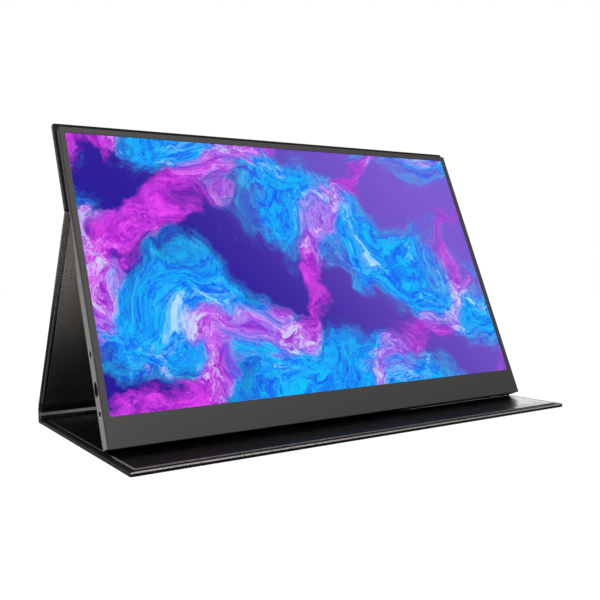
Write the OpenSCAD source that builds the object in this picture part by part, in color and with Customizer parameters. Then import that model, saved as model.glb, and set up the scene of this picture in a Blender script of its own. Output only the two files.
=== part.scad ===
// Portable monitor standing in its folding cover.
// The cover is a base panel, a narrow spine, a strut and a carrier panel that holds the monitor's back.
// Lengths in millimetres, +Z up, screen facing -Y, origin under the middle of the base.

/* [Screen] */
// Width of the lit area
screen_w = 344.2; // [300:0.1:360]
// Height of the lit area
screen_h = 193.6; // [170:0.1:205]
// Border left and right of the lit area
side_border = 4.2; // [4:0.1:8]
// Border above the lit area
top_border = 4.2; // [4:0.1:8]
// Height of the chin below the lit area
chin_h = 19.2; // [18:0.1:26]

/* [Monitor body] */
// Thickness of the upper part
thick_top = 4.2; // [4.2:0.1:5.4]
// Thickness of the lower part that holds the electronics
thick_low = 10.6; // [9:0.1:12]
// Height up the back where the thick part starts to thin
slope_foot = 98; // [96:1:110]
// Height up the back where the thin part starts
slope_head = 150; // [140:1:153]
// Corner radius seen from the front
corner_r = 1.5; // [1:0.1:8]
// Rounding of the rear edges
back_round = 1.6; // [0.8:0.1:2]
// Rounding of the lower rear edge, on which the monitor stands
foot_round = 0.6; // [0.3:0.1:1]
// Depth of the front bezel's side
bezel_depth = 1.2; // [1.1:0.1:1.6]
// Thickness of the bezel in front of the panel
bezel_lip = 0.8; // [0.5:0.1:0.9]
// Height of the seam between bezel and rear housing
seam_h = 0.8; // [0.5:0.1:0.9]
// How far the seam lies back from the side
seam_inset = 0.4; // [0.2:0.1:0.6]
// Side wall of the rear housing
wall = 1.3; // [1:0.1:1.4]
// Back wall of the rear housing
floor_t = 1.0; // [0.8:0.1:1.2]
// Lean of the screen from upright, in degrees
tilt = 21.6; // [18:0.1:25]

/* [Cover] */
// Thickness of a cover panel
panel_t = 2.7; // [2.5:0.1:3.2]
// How far the cover stands out beside the monitor
side_overhang = 2.6; // [1:0.1:5]
// How far the carrier stands above the monitor
top_overhang = 5.1; // [2:0.1:8]
// Length of the carrier panel
carrier_l = 66.2; // [64:0.1:70]
// Depth of the whole cover on the table
base_l = 181.1; // [170:0.1:200]
// Base in front of the screen
front_ledge = 39.2; // [30:0.1:46]
// Height of the spine
spine_h = 11.9; // [10:0.1:14]
// Corner radius of the cover
cover_r = 2; // [1:0.5:8]
// Rounding of the panel edges
edge_r = 0.6; // [0.4:0.1:1.2]
// Width of the turned edge round a lining
hem_w = 4.2; // [3:0.1:6]
// Skin under the board
skin_t = 0.6; // [0.4:0.1:0.8]
// Stiffening board
board_t = 1.3; // [1:0.1:1.4]
// How far the base lining stands above its rim
base_rise = 0.6; // [0.3:0.1:0.8]
// How far the strut lining stands above its rim
strut_rise = 0.4; // [0.2:0.1:0.5]
// How far the carrier lining stands above its rim
carrier_rise = 0.2; // [0.1:0.1:0.4]
// Depth of the groove that the foot stands in
groove_d = 0.3; // [0.2:0.1:0.5]
// Diameter of a base magnet
magnet_d = 10; // [8:1:14]

/* [Controls and sockets] */
// Height of the headphone socket up the side
jack_v = 22.5; // [22:0.1:24]
// Bore of the headphone socket
jack_bore_d = 3.6; // [3.5:0.05:3.7]
// Depth of the headphone socket
jack_depth = 12; // [11:0.5:14]
// Height of the status light up the side
light_v = 27.8; // [27.4:0.1:28.4]
// Height of the menu dial up the side
dial_v = 36.8; // [36.5:0.1:40]
// Diameter of the menu dial
dial_d = 8; // [7:0.1:8.4]
// Thickness of the menu dial
dial_t = 2; // [1.6:0.1:2.2]
// Length of the scoop round the dial
scoop_l = 14; // [12:0.5:16]
// Diameter of the dial's axle
axle_d = 1.2; // [1:0.1:1.4]
// Height of the power button up the side
button_v = 59.8; // [57:0.1:63]
// Length of the power button
button_l = 4.2; // [4:0.1:6]
// Height of the lower USB-C socket up the side
usb_v = 52; // [50:0.5:54]
// Pitch of the two USB-C sockets
usb_pitch = 14; // [13:0.5:16]
// Height of the mini-HDMI socket up the side
hdmi_v = 80.5; // [80:0.5:82]

/* [Inside] */
// Circuit board thickness
pcb_t = 0.8; // [0.6:0.1:1]
// Width of the main board
main_w = 104; // [96:1:108]
// Length of a speaker
speaker_l = 52; // [40:1:54]
// Height of a speaker
speaker_h = 15; // [12:1:16]
// Thickness of a rib in the rear housing
rib_t = 0.9; // [0.7:0.1:1.2]
// Spacing of the ribs across the rear housing
rib_pitch = 25; // [20:1:40]

/* [Hidden] */
$fn = 48;

// Clearances
crease_gap = 0.3;      // panel end to the neighbour's round nose
board_gap = 0.2;       // board or module edge to its pocket
lining_gap = 0.1;      // lining edge to its pocket
hug_gap = 0.1;         // carrier lining to the monitor's back
foot_gap = 0.3;        // monitor's foot to the groove
run_gap = 0.05;        // shaft in its hole
press_gap = 0.1;       // button in its hole
cut = 1;               // how far a cutting shape runs past a face

// Monitor outline and stack, measured from the front face down (w is minus outwards)
mon_w = screen_w + 2 * side_border;
mon_h = screen_h + top_border + chin_h;
half_w = mon_w / 2;
rim_w = -(bezel_depth + seam_h);
low_w = -thick_low;
top_w = -thick_top;
low_floor = low_w + floor_t;
top_floor = top_w + floor_t;
slope_a = atan2(thick_low - thick_top, slope_head - slope_foot);

// Panel module
module_side = 1.6;     // panel beyond the lit area, sides and top
module_foot = 3;       // panel beyond the lit area, bottom
module_x = screen_w / 2 + module_side;
module_v0 = chin_h - module_foot;
module_v1 = chin_h + screen_h + module_side;
tray_t = 0.3;
tray_w = top_floor + 0.25;
cell_t = 0.9;
sheet_t = 0.3;
reflector_t = 0.15;
cell_back = -bezel_lip - cell_t;
sheet_back = cell_back - sheet_t;
guide_back = tray_w + tray_t + reflector_t;
lamp_h = 1.5;
frame_gap = 0.15;
flange_w = top_floor + 0.2;
flange_side = wall + 0.1;
flange_r = max(corner_r - flange_side, 0.2);
port_in = 3.6;         // middle line of the sockets behind the rim

// Electronics hang behind the panel, sockets centred in the rear housing's side
port_w = rim_w - port_in;
pcb_front = top_floor - 0.3;
pcb_back = pcb_front - pcb_t;
screw_r = 0.7;
boss_r = 1.9;
head_r = 1.6;
main_x1 = half_w - wall - 1.2;
main_x0 = main_x1 - main_w;
main_v0 = 34;
main_v1 = 89;
side_x0 = -half_w + wall + 1.2;
side_w = 22;
side_x1 = side_x0 + side_w;
side_v0 = 16;
side_v1 = 72;
main_holes = [[main_x0 + 4, 84], [main_x1 - 14, 38], [main_x0 + 34, 38], [main_x1 - 20, 84]];
side_holes = [[side_x1 - 4, 20], [side_x1 - 4, 68]];
rib_x0 = side_x1 + 12;
rib_x1 = main_x0 - 8;
rib_v0 = 31;
rib_v1 = slope_foot - 6;
rib_h = 1.8;
socket_h = 1.2;
cable_t = 0.3;
cable_v = 60;
cable_w = 10;
ribbon_w = 16;
ribbon_in = 14;         // from the main board's inner edge
ribbon_x = main_x0 + ribbon_in;
speaker_gap = 4.8;      // between side board and speaker
speaker_x = -side_x1 - speaker_gap - speaker_l;
speaker_v = 6;
speaker_t = 3.5;
housing_screw_in = 21.3;
housing_screw_x = half_w - housing_screw_in;
housing_screw_v = 8;
housing_screw_r = 0.95;
housing_head_r = 1.8;
housing_head_h = 0.6;
driver_in = 56.3;
driver_x = half_w - driver_in;
driver_v0 = 3.4;
driver_v1 = module_v0 - 2.2;
driver_w0 = rim_w - 1;

// Headphone socket
jack_r = jack_bore_d / 2;
jack_barrel_r = 2.4;
jack_body_v = 6;
jack_body_w = 4.8;
jack_x0 = -half_w + 0.2;

// Menu dial in its scoop
dial_r = dial_d / 2;
dial_x = -half_w + dial_r + 0.9;
scoop_depth = 2.2;
scoop_half = 3.3;
scoop_wall = 0.8;
scoop_r = (scoop_half * scoop_half + scoop_depth * scoop_depth) / (2 * scoop_depth);
scoop_out = scoop_r - scoop_depth;
scoop_x1 = -half_w + scoop_depth + scoop_wall;
ear_t = 0.8;
ear_half = 1.6;
ear_gap = 0.3;
axle_r = axle_d / 2;
ear_w0 = dial_t / 2 + ear_gap;
carrier_x1 = dial_x + dial_r + 1.6;
dial_travel = 0.4;
stem_r = 0.8;

// Power button
button_w = 3.2;
button_travel = 0.4;
button_x0 = -half_w + 0.15;
button_in = 3.7;

// Cover widths and creases
cover_w = mon_w + 2 * side_overhang;
nose_r = panel_t / 2;
crease_y = base_l / 2 - nose_r;
spine_pitch = spine_h - panel_t;
fold_v = mon_h + top_overhang - carrier_l;
carrier_w = -(thick_top + hug_gap + carrier_rise + nose_r);
stand_y = front_ledge - base_l / 2;
foot_drop = (thick_low - foot_round) * sin(tilt) + foot_round * (1 - cos(tilt));
stand_z = panel_t + base_rise - groove_d + foot_gap + foot_drop;
fold_y = stand_y + fold_v * sin(tilt) - carrier_w * cos(tilt);
fold_z = stand_z + fold_v * cos(tilt) + carrier_w * sin(tilt);
strut_dy = fold_y - crease_y;
strut_dz = fold_z - (spine_h - nose_r);
strut_l = sqrt(strut_dy * strut_dy + strut_dz * strut_dz);
strut_a = atan2(strut_dz, strut_dy);
end_y = nose_r + crease_gap;
crease_hem = 2.6;
foot_y = stand_y + foot_round * sin(tilt) + (thick_low - foot_round) * cos(tilt) - crease_y;
groove_w = 5;
lining_r = 0.35;
magnet_t = board_t;
magnet_in = 28.9;
magnet_x = cover_w / 2 - magnet_in;
base_magnet_x = [-magnet_x, -0.4 * magnet_x, 0.4 * magnet_x, magnet_x];
carrier_bar = [44, 12];
carrier_bar_in = 56.3;
carrier_bar_x = [carrier_bar_in - half_w, 0, half_w - carrier_bar_in];
strip_l = 60;
strip_h = 16;
strip_t = 0.4;
strip_gap = 0.2;
carrier_bar_v = fold_v + carrier_l * 0.55;

echo(strut_l = strut_l, strut_a = strut_a, fold_y = fold_y, fold_z = fold_z, crease_y = crease_y,
    crease_low = nose_r, crease_high = spine_h - nose_r, stand_y = stand_y, stand_z = stand_z, fold_v = fold_v,
    carrier_w = carrier_w, port_w = port_w, dial_x = dial_x, half_w = half_w, jack_x0 = jack_x0);

// Frames: each has Y along the chain from base to carrier, and Z towards the inside of the cover
module on_base() translate([0, crease_y, nose_r]) children();
module on_spine() translate([0, crease_y, nose_r]) rotate([90, 0, 0]) children();
module on_strut() translate([0, crease_y, spine_h - nose_r]) rotate([strut_a, 0, 0]) children();
module on_monitor() translate([0, stand_y, stand_z]) rotate([90 - tilt, 0, 0]) children();
module on_carrier() on_monitor() translate([0, 0, carrier_w]) children();

// 2D strip along X from a to b, h high, with corner radius ra at one end and rb at the other
module strip(a, b, h, ra, rb) {
    translate([a + ra, -h / 2]) square([b - a - ra - rb, h]);
    strip_end(a + ra, ra, h);
    strip_end(b - rb, rb, h);
}
module strip_end(x, r, h) {
    flat = h - 2 * r;
    if (r > 0 && flat > 0) translate([x - r, -flat / 2]) square([2 * r, flat]);
    if (r > 0) for (s = flat > 0 ? [-1, 1] : [0]) translate([x, s * flat / 2]) circle(r);
}
module along_x(l) rotate([90, 0, 90]) linear_extrude(l, center = true) children();
module along_y(a, b) translate([0, b, 0]) rotate([90, 0, 0]) linear_extrude(b - a) children();
module plate(a, b, w, ra, rb, z0, z1)
    translate([0, 0, z0]) linear_extrude(z1 - z0) rotate(90) strip(a, b, w, ra, rb);
module box(x0, x1, y0, y1, z0, z1) translate([x0, y0, z0]) cube([x1 - x0, y1 - y0, z1 - z0]);
// Rod along X between two places
module rod_x(r, x0, x1) translate([x0, 0, 0]) rotate([0, 90, 0]) cylinder(r = r, h = x1 - x0);
module rod_z(r, z0, z1) translate([0, 0, z0]) cylinder(r = r, h = z1 - z0);

// Cover panels
module panel_slab(a, b, ra, rb) intersection() {
    plate(a, b, cover_w, ra, rb, -nose_r, nose_r);
    along_y(a, b) strip(-cover_w / 2, cover_w / 2, panel_t, edge_r, edge_r);
    along_x(cover_w) strip(a, b, panel_t, ra > 0 ? edge_r : 0, rb > 0 ? edge_r : 0);
}
module pocket(a, b, grow, z0, z1)
    plate(a - grow, b + grow, cover_w - 2 * hem_w + 2 * grow, pocket_r, pocket_r, z0, z1);
pocket_r = max(cover_r - 2, 0.6);
module panel_board(a, b) pocket(a, b, -board_gap, -nose_r + skin_t, -nose_r + skin_t + board_t);
module panel_lining(a, b, rise) {
    z0 = -nose_r + skin_t + board_t;
    z1 = nose_r + rise;
    mid = (z0 + z1) / 2;
    intersection() {
        pocket(a, b, -lining_gap, z0, z1);
        translate([0, 0, mid]) along_y(a, b)
            strip(-cover_w / 2 + hem_w + lining_gap, cover_w / 2 - hem_w - lining_gap, z1 - z0, lining_r, lining_r);
        translate([0, 0, mid]) along_x(cover_w)
            strip(a + lining_gap, b - lining_gap, z1 - z0, lining_r, lining_r);
    }
}

// Base panel: ends at the rear crease, front corners round
base_a = -(base_l - nose_r);
base_b = -end_y;
base_pa = base_a + hem_w;
base_pb = base_b - crease_hem;
magnet_y = base_pa + magnet_d / 2 + 3;
module base_skin() color("#1b1a1a") on_base() difference() {
    panel_slab(base_a, base_b, cover_r, 0);
    pocket(base_pa, base_pb, 0, -nose_r + skin_t, nose_r + cut);
}
module base_board() color("#6b5d4a") on_base() difference() {
    panel_board(base_pa, base_pb);
    for (x = base_magnet_x) translate([x, magnet_y, 0]) rod_z(magnet_d / 2 + press_gap, -panel_t, panel_t);
}
module base_magnets() color("#b8babd") on_base() for (x = base_magnet_x)
    translate([x, magnet_y, 0]) rod_z(magnet_d / 2, -nose_r + skin_t, -nose_r + skin_t + magnet_t);
module base_lining() color("#141313") on_base() difference() {
    panel_lining(base_pa, base_pb, base_rise);
    translate([0, foot_y, nose_r + base_rise]) along_x(cover_w) square([groove_w, 2 * groove_d], center = true);
}

// Spine: a narrow panel with a round nose at each crease
spine_pa = nose_r + 0.5;
spine_pb = spine_pitch - nose_r - 0.5;
spine_rise = 0.2;
module spine_strip(inset, z0, z1)
    box(-cover_w / 2 + hem_w + inset, cover_w / 2 - hem_w - inset, spine_pa + inset, spine_pb - inset, z0, z1);
module spine_skin() color("#201f1f") on_spine() difference() {
    along_x(cover_w) strip(-nose_r, spine_pitch + nose_r, panel_t, nose_r, nose_r);
    spine_strip(0, -nose_r + skin_t, nose_r + cut);
}
module spine_board() color("#6b5d4a") on_spine()
    spine_strip(board_gap, -nose_r + skin_t, -nose_r + skin_t + board_t);
module spine_lining() color("#171616") on_spine()
    spine_strip(lining_gap, -nose_r + skin_t + board_t, nose_r + spine_rise);

// Strut: flat end at the spine, round nose at the fold
strut_pa = end_y + crease_hem;
strut_pb = strut_l - crease_hem - 1;
module strut_skin() color("#262423") on_strut() difference() {
    union() {
        panel_slab(end_y, strut_l, 0, 0);
        translate([0, strut_l, 0]) rod_x(nose_r, -cover_w / 2, cover_w / 2);
    }
    pocket(strut_pa, strut_pb, 0, -nose_r + skin_t, nose_r + cut);
}
module strut_board() color("#6b5d4a") on_strut() panel_board(strut_pa, strut_pb);
module strut_lining() color("#3a3735") on_strut() panel_lining(strut_pa, strut_pb, strut_rise);

// Carrier: holds the monitor's thin upper back with its magnets
carrier_a = fold_v + end_y;
carrier_b = mon_h + top_overhang;
carrier_pa = carrier_a + crease_hem;
carrier_pb = carrier_b - hem_w;
module carrier_bars(grow, z0, z1) for (x = carrier_bar_x)
    box(x - carrier_bar.x / 2 - grow, x + carrier_bar.x / 2 + grow,
        carrier_bar_v - carrier_bar.y / 2 - grow, carrier_bar_v + carrier_bar.y / 2 + grow, z0, z1);
module carrier_skin() color("#1d1c1c") on_carrier() difference() {
    panel_slab(carrier_a, carrier_b, 0, cover_r);
    pocket(carrier_pa, carrier_pb, 0, -nose_r + skin_t, nose_r + cut);
}
module carrier_board() color("#6b5d4a") on_carrier() difference() {
    panel_board(carrier_pa, carrier_pb);
    carrier_bars(press_gap, -panel_t, panel_t);
}
module carrier_magnets() color("#b8babd") on_carrier()
    carrier_bars(0, -nose_r + skin_t, -nose_r + skin_t + magnet_t);
module carrier_lining() color("#161515") on_carrier() panel_lining(carrier_pa, carrier_pb, carrier_rise);

// Rear housing: thick foot with round sides, sloped middle and thin top in one shell
module back_section(depth) // across the monitor, with round rear edges
    translate([0, -depth / 2]) strip(-half_w, half_w, depth, back_round, back_round);
module back_blocks() intersection() {
    along_y(-cut, mon_h + cut) back_section(thick_low);
    along_x(mon_w + cut) polygon([
        [-cut, cut], [mon_h + cut, cut], [mon_h + cut, top_w], [slope_head, top_w],
        [slope_foot - cut / tan(slope_a), low_w - cut], [-cut, low_w - cut]]);
}
module housing_outer() intersection() {
    plate(0, mon_h, mon_w, corner_r, corner_r, low_w - cut, rim_w);
    back_blocks();
    translate([0, 0, -thick_low / 2]) along_x(mon_w + cut) strip(0, mon_h + cut, thick_low, foot_round, 0);
}
module housing_cavity() along_x(mon_w - 2 * wall) polygon([
    [wall, low_floor], [slope_foot, low_floor], [slope_head, top_floor],
    [mon_h - wall, top_floor], [mon_h - wall, cut], [wall, cut]]);
module housing_ribs() {
    n = floor((rib_x1 - rib_x0) / rib_pitch);
    for (i = [0:n]) box(rib_x0 + i * rib_pitch - rib_t / 2, rib_x0 + i * rib_pitch + rib_t / 2,
        rib_v0, rib_v1, low_floor - 0.2, low_floor + rib_h);
    for (v = [rib_v0 + 12, rib_v1 - 14])
        box(rib_x0, rib_x0 + n * rib_pitch, v - rib_t / 2, v + rib_t / 2, low_floor - 0.2, low_floor + rib_h);
}
module speaker_slots() for (s = [-1, 1], i = [0:6])
    translate([s * (speaker_x + speaker_l / 2) + (i - 3) * 5, speaker_v + speaker_h / 2, low_w - cut])
        linear_extrude(floor_t + 2 * cut) rotate(90) strip(-4, 4, 1.4, 0.7, 0.7);
// Spindle whose axis lies just outside the side face: its cut is a lens
spindle_r = (scoop_l * scoop_l / 4 + scoop_half * scoop_half) / (2 * scoop_half);
module scoop() translate([-half_w - scoop_out, dial_v, port_w]) rotate([-90, 0, 0])
    rotate_extrude() intersection() {
        translate([scoop_r - spindle_r, 0]) circle(spindle_r, $fn = 96);
        translate([0, -scoop_l]) square([scoop_r + cut, 2 * scoop_l]);
    }
module dial_slot() box(-half_w - cut, -half_w + 6, dial_v - dial_r - 0.2, dial_v + dial_r + 0.2,
    port_w - dial_t / 2 - ear_gap, port_w + dial_t / 2 + ear_gap);
module button_hole(grow) translate([-half_w - cut, button_v, port_w]) rotate([90, 0, 90])
    linear_extrude(wall + 2 * cut) strip(-button_l / 2 - grow, button_l / 2 + grow, button_w + 2 * grow,
        button_w / 2 + grow, button_w / 2 + grow);
usb_shell = [7.4, 9.0, 3.2];   // depth, width, height
hdmi_shell = [7.4, 11.2, 3.4];
port_gap = 0.15;
module port_hole(v, shell) translate([half_w - wall - cut, v, port_w]) rotate([90, 0, 90])
    linear_extrude(wall + 2 * cut)
        strip(-shell.y / 2 - port_gap, shell.y / 2 + port_gap, shell.z + 2 * port_gap,
            shell.z / 2 + port_gap, shell.z / 2 + port_gap);
module rear_housing() color("#7d7c7a") on_monitor() difference() {
    union() {
        difference() {
            housing_outer();
            housing_cavity();
        }
        housing_ribs();
        box(-half_w + wall - 0.3, scoop_x1, dial_v - scoop_l / 2 - 0.6,
            dial_v + scoop_l / 2 + 0.6, low_floor - 0.2, rim_w - 1.1);
        for (h = concat(main_holes, side_holes))
            translate([h.x, h.y, 0]) rod_z(boss_r, low_floor - 0.2, pcb_back);
        for (s = [-1, 1]) translate([s * housing_screw_x, housing_screw_v, 0])
            rod_z(boss_r + 0.5, low_floor - 0.2, port_w - 0.6);
        for (s = [-1, 1]) translate([s * housing_screw_x, 0, 0])
            box(-rib_t / 2, rib_t / 2, wall - 0.3, housing_screw_v - 1.5, low_floor - 0.2, port_w - 0.8);
    }
    for (h = concat(main_holes, side_holes))
        translate([h.x, h.y, 0]) rod_z(screw_r + run_gap, low_floor + 0.3, pcb_front + cut);
    for (s = [-1, 1]) translate([s * housing_screw_x, housing_screw_v, 0]) {
        rod_z(housing_screw_r + run_gap, low_w - cut, port_w + cut);
        rod_z(housing_head_r + press_gap, low_w - cut, low_w + housing_head_h + 0.1);
    }
    speaker_slots();
    scoop();
    dial_slot();
    button_hole(press_gap);
    translate([0, light_v, port_w]) rod_x(0.6 + run_gap, -half_w - cut, -half_w + wall + cut);
    translate([0, jack_v, port_w]) rod_x(jack_barrel_r + run_gap, -half_w - cut, -half_w + wall + cut);
    for (i = [0:1]) port_hole(usb_v + i * usb_pitch, usb_shell);
    port_hole(hdmi_v, hdmi_shell);
    strips(0, strip_t + 0.1, -cut);
}
module strips(inset, z0, z1) for (x = carrier_bar_x)
    box(x - strip_l / 2 + inset, x + strip_l / 2 - inset, carrier_bar_v - strip_h / 2 + inset,
        carrier_bar_v + strip_h / 2 - inset, top_floor - z0, top_floor - z1);
module steel_strips() color("#9b9da0") on_monitor() strips(strip_gap, strip_t + 0.1, 0.1);

// Middle frame: shows as the dark seam, and its flange stands inside the housing round the panel
module module_window(z0, z1) box(-module_x - frame_gap, module_x + frame_gap,
    module_v0 - frame_gap, module_v1 + frame_gap, z0, z1);
module mid_frame() color("#2b2b2b") on_monitor() difference() {
    union() {
        plate(seam_inset, mon_h - seam_inset, mon_w - 2 * seam_inset, corner_r - seam_inset,
            corner_r - seam_inset, rim_w, -bezel_depth);
        plate(flange_side, mon_h - flange_side, mon_w - 2 * flange_side, flange_r,
            flange_r, flange_w, rim_w + 0.1);
        for (s = [-1, 1]) translate([s * housing_screw_x, housing_screw_v, 0])
            rod_z(boss_r + 0.5, port_w - 0.5, rim_w);
    }
    module_window(low_w, cut);
    box(-driver_x - 1, driver_x + 1, driver_v0 - 0.6, driver_v1 + 0.6, flange_w - cut, rim_w);
    for (s = [-1, 1]) translate([s * housing_screw_x, housing_screw_v, 0])
        rod_z(housing_screw_r + run_gap, port_w - cut, rim_w - 0.2);
}

// Front bezel: thin sides and top, tall chin, soft front edge
bezel_round = 0.5;
module bezel_outer() intersection() {
    plate(0, mon_h, mon_w, corner_r, corner_r, -bezel_depth, 0);
    translate([0, 0, -thick_low / 2]) along_y(-cut, mon_h + cut)
        strip(-half_w, half_w, thick_low, bezel_round, bezel_round);
    translate([0, 0, -thick_low / 2]) along_x(mon_w + cut)
        strip(0, mon_h, thick_low, bezel_round, bezel_round);
}
module front_bezel() color("#4c4b4a") on_monitor() difference() {
    bezel_outer();
    box(-screen_w / 2, screen_w / 2, chin_h, chin_h + screen_h, -cut - bezel_depth, cut);
    box(-module_x - frame_gap, module_x + frame_gap, module_v0 - frame_gap, module_v1 + frame_gap,
        -cut - bezel_depth, -bezel_lip);
    box(-driver_x, driver_x, 2.5, module_v0 - 1.5, -cut - bezel_depth, -bezel_lip);
}

// Panel module, front to back
module lcd_cell() color("#3a2fae") on_monitor()
    box(-module_x, module_x, module_v0, module_v1, cell_back, -bezel_lip);
inner_x = module_x - tray_t - frame_gap;
inner_v0 = module_v0 + tray_t + frame_gap;
inner_v1 = module_v1 - tray_t - frame_gap;
module diffuser_sheet() color("#f2f2f2") on_monitor()
    box(-inner_x, inner_x, inner_v0, inner_v1, sheet_back, cell_back);
module light_guide() color("#dfeef5", 0.6) on_monitor() difference() {
    box(-inner_x, inner_x, inner_v0 + lamp_h + 0.1, inner_v1, guide_back, sheet_back);
    for (s = [-1, 1]) box(s * inner_x - 1.5, s * inner_x + 1.5, (inner_v0 + inner_v1) / 2 - 4,
        (inner_v0 + inner_v1) / 2 + 4, guide_back - cut, sheet_back + cut);
}
lamp_n = 30;
module led_strip() color("#e8c95a") on_monitor() {
    step = 2 * (inner_x - 4) / (lamp_n - 1);
    box(-inner_x, inner_x, inner_v0, inner_v0 + 0.6, guide_back, sheet_back);
    for (i = [0:lamp_n - 1]) translate([-inner_x + 4 + i * step, 0, 0])
        box(-1.6, 1.6, inner_v0 + 0.5, inner_v0 + lamp_h, guide_back, sheet_back - 0.02);
}
module reflector_sheet() color("white") on_monitor()
    box(-inner_x, inner_x, inner_v0, inner_v1, tray_w + tray_t, guide_back);
module panel_tray() color("#a9abae") on_monitor() difference() {
    box(-module_x, module_x, module_v0, module_v1, tray_w, cell_back - 0.05);
    box(-module_x + tray_t, module_x - tray_t, module_v0 + tray_t, module_v1 - tray_t, tray_w + tray_t, cut);
}

// Boards
module driver_board() color("#1d6b3a") on_monitor() {
    box(-driver_x, driver_x, driver_v0, driver_v1, driver_w0 + 0.1, rim_w - 0.1);
    box(ribbon_x - ribbon_w / 2 - 1, ribbon_x + ribbon_w / 2 + 1, driver_v0 + 2, driver_v0 + 6,
        driver_w0 - 0.9, driver_w0 + 0.2);
}
// Side view of a flat cable along the points (a, w)
module ribbon_2d(p) {
    half = [0, cable_t / 2];
    polygon(concat([for (q = p) q - half], [for (i = [len(p) - 1:-1:0]) p[i] + half]));
}
socket_w = pcb_back - socket_h / 2;
module panel_cable() color("#d9d3c4") on_monitor() translate([ribbon_x, 0, 0]) along_x(ribbon_w)
    ribbon_2d([[driver_v0 + 6, driver_w0 - 0.45], [driver_v0 + 9, driver_w0 - 0.45],
        [main_v0 - 6, socket_w], [main_v0 + 2, socket_w]]);
module side_cable() color("#d9d3c4") on_monitor() translate([0, cable_v + cable_w / 2, 0])
    rotate([90, 0, 0]) linear_extrude(cable_w)
        ribbon_2d([[side_x1 - 1, socket_w], [side_x1 + 2, socket_w],
            [rib_x0 - 3, low_floor + rib_h + 0.3], [rib_x1 + 1, low_floor + rib_h + 0.3],
            [main_x0 + 0.5, socket_w], [main_x0 + 3, socket_w]]);
module board_sockets() color("#e9e4d6") on_monitor() {
    box(ribbon_x - ribbon_w / 2 - 1, ribbon_x + ribbon_w / 2 + 1, main_v0 + 2, main_v0 + 6,
        pcb_back - socket_h, pcb_back);
    box(main_x0 + 3, main_x0 + 6.5, cable_v - cable_w / 2 - 1, cable_v + cable_w / 2 + 1,
        pcb_back - socket_h, pcb_back);
    box(side_x1 - 4.5, side_x1 - 1, cable_v - cable_w / 2 - 1, cable_v + cable_w / 2 + 1,
        pcb_back - socket_h, pcb_back);
    box(main_x0 + lead_in, main_x0 + lead_in + 3.5, lead_socket_v, lead_socket_v + lead_socket_h,
        pcb_back - socket_h, pcb_back);
}
module port_notch(v, shell)
    box(half_w - shell.x - 0.5, half_w, v - shell.y / 2 - port_gap, v + shell.y / 2 + port_gap, low_w, cut);
module main_board() color("#17603a") on_monitor() difference() {
    box(main_x0, main_x1, main_v0, main_v1, pcb_back, pcb_front);
    for (i = [0:1]) port_notch(usb_v + i * usb_pitch, usb_shell);
    port_notch(hdmi_v, hdmi_shell);
    for (h = main_holes) translate([h.x, h.y, 0]) rod_z(screw_r + run_gap, low_w, cut);
}
chips = [[0.30, 0.52, 14, 14], [0.47, 0.30, 9, 7], [0.72, 0.28, 7, 7], [0.80, 0.66, 6, 9], [0.30, 0.84, 8, 6]];
chip_h = 1;
module chip(c, grow, z0, z1) {
    x = main_x0 + c[0] * main_w;
    v = main_v0 + c[1] * (main_v1 - main_v0);
    box(x - c[2] / 2 - grow, x + c[2] / 2 + grow, v - c[3] / 2 - grow, v + c[3] / 2 + grow, z0, z1);
}
module board_chips() color("#202124") on_monitor() for (c = chips) chip(c, 0, pcb_back - chip_h, pcb_back);
module shield_can() color("#c3c5c8") on_monitor() difference() {
    chip(chips[0], 1.6, pcb_back - chip_h - 0.5, pcb_back);
    chip(chips[0], 1.35, pcb_back - chip_h - 0.25, pcb_back + cut);
}
module side_board() color("#17603a") on_monitor() difference() {
    box(side_x0, side_x1, side_v0, side_v1, pcb_back, pcb_front);
    box(side_x0 - cut, jack_x0 + jack_depth + 0.3, jack_v - jack_body_v / 2 - 0.2, jack_v + jack_body_v / 2 + 0.2,
        low_w, cut);
    box(side_x0 - cut, carrier_x1 + 0.6, dial_v - dial_r - 0.8, dial_v + dial_r + 0.8, low_w, cut);
    box(side_x0 - cut, scoop_x1 + 0.2, dial_v - scoop_l / 2 - 0.8, dial_v + scoop_l / 2 + 0.8, low_w, cut);
    for (h = side_holes) translate([h.x, h.y, 0]) rod_z(screw_r + run_gap, low_w, cut);
}
module board_screws() color("#8e9093") on_monitor() for (h = concat(main_holes, side_holes))
    translate([h.x, h.y, 0]) {
        rod_z(screw_r, low_floor + 0.8, pcb_front + 0.1);
        rod_z(head_r, pcb_front, pcb_front + 0.25);
    }
module housing_screws() color("#2c2d2f") on_monitor() for (s = [-1, 1])
    translate([s * housing_screw_x, housing_screw_v, 0]) difference() {
        union() {
            rod_z(housing_head_r, low_w + 0.1, low_w + housing_head_h + 0.1);
            rod_z(housing_screw_r, low_w + housing_head_h, rim_w - 0.6);
        }
        for (a = [0, 90]) rotate(a) translate([0, 0, low_w]) cube([2, 0.4, 0.7], center = true);
    }

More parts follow.
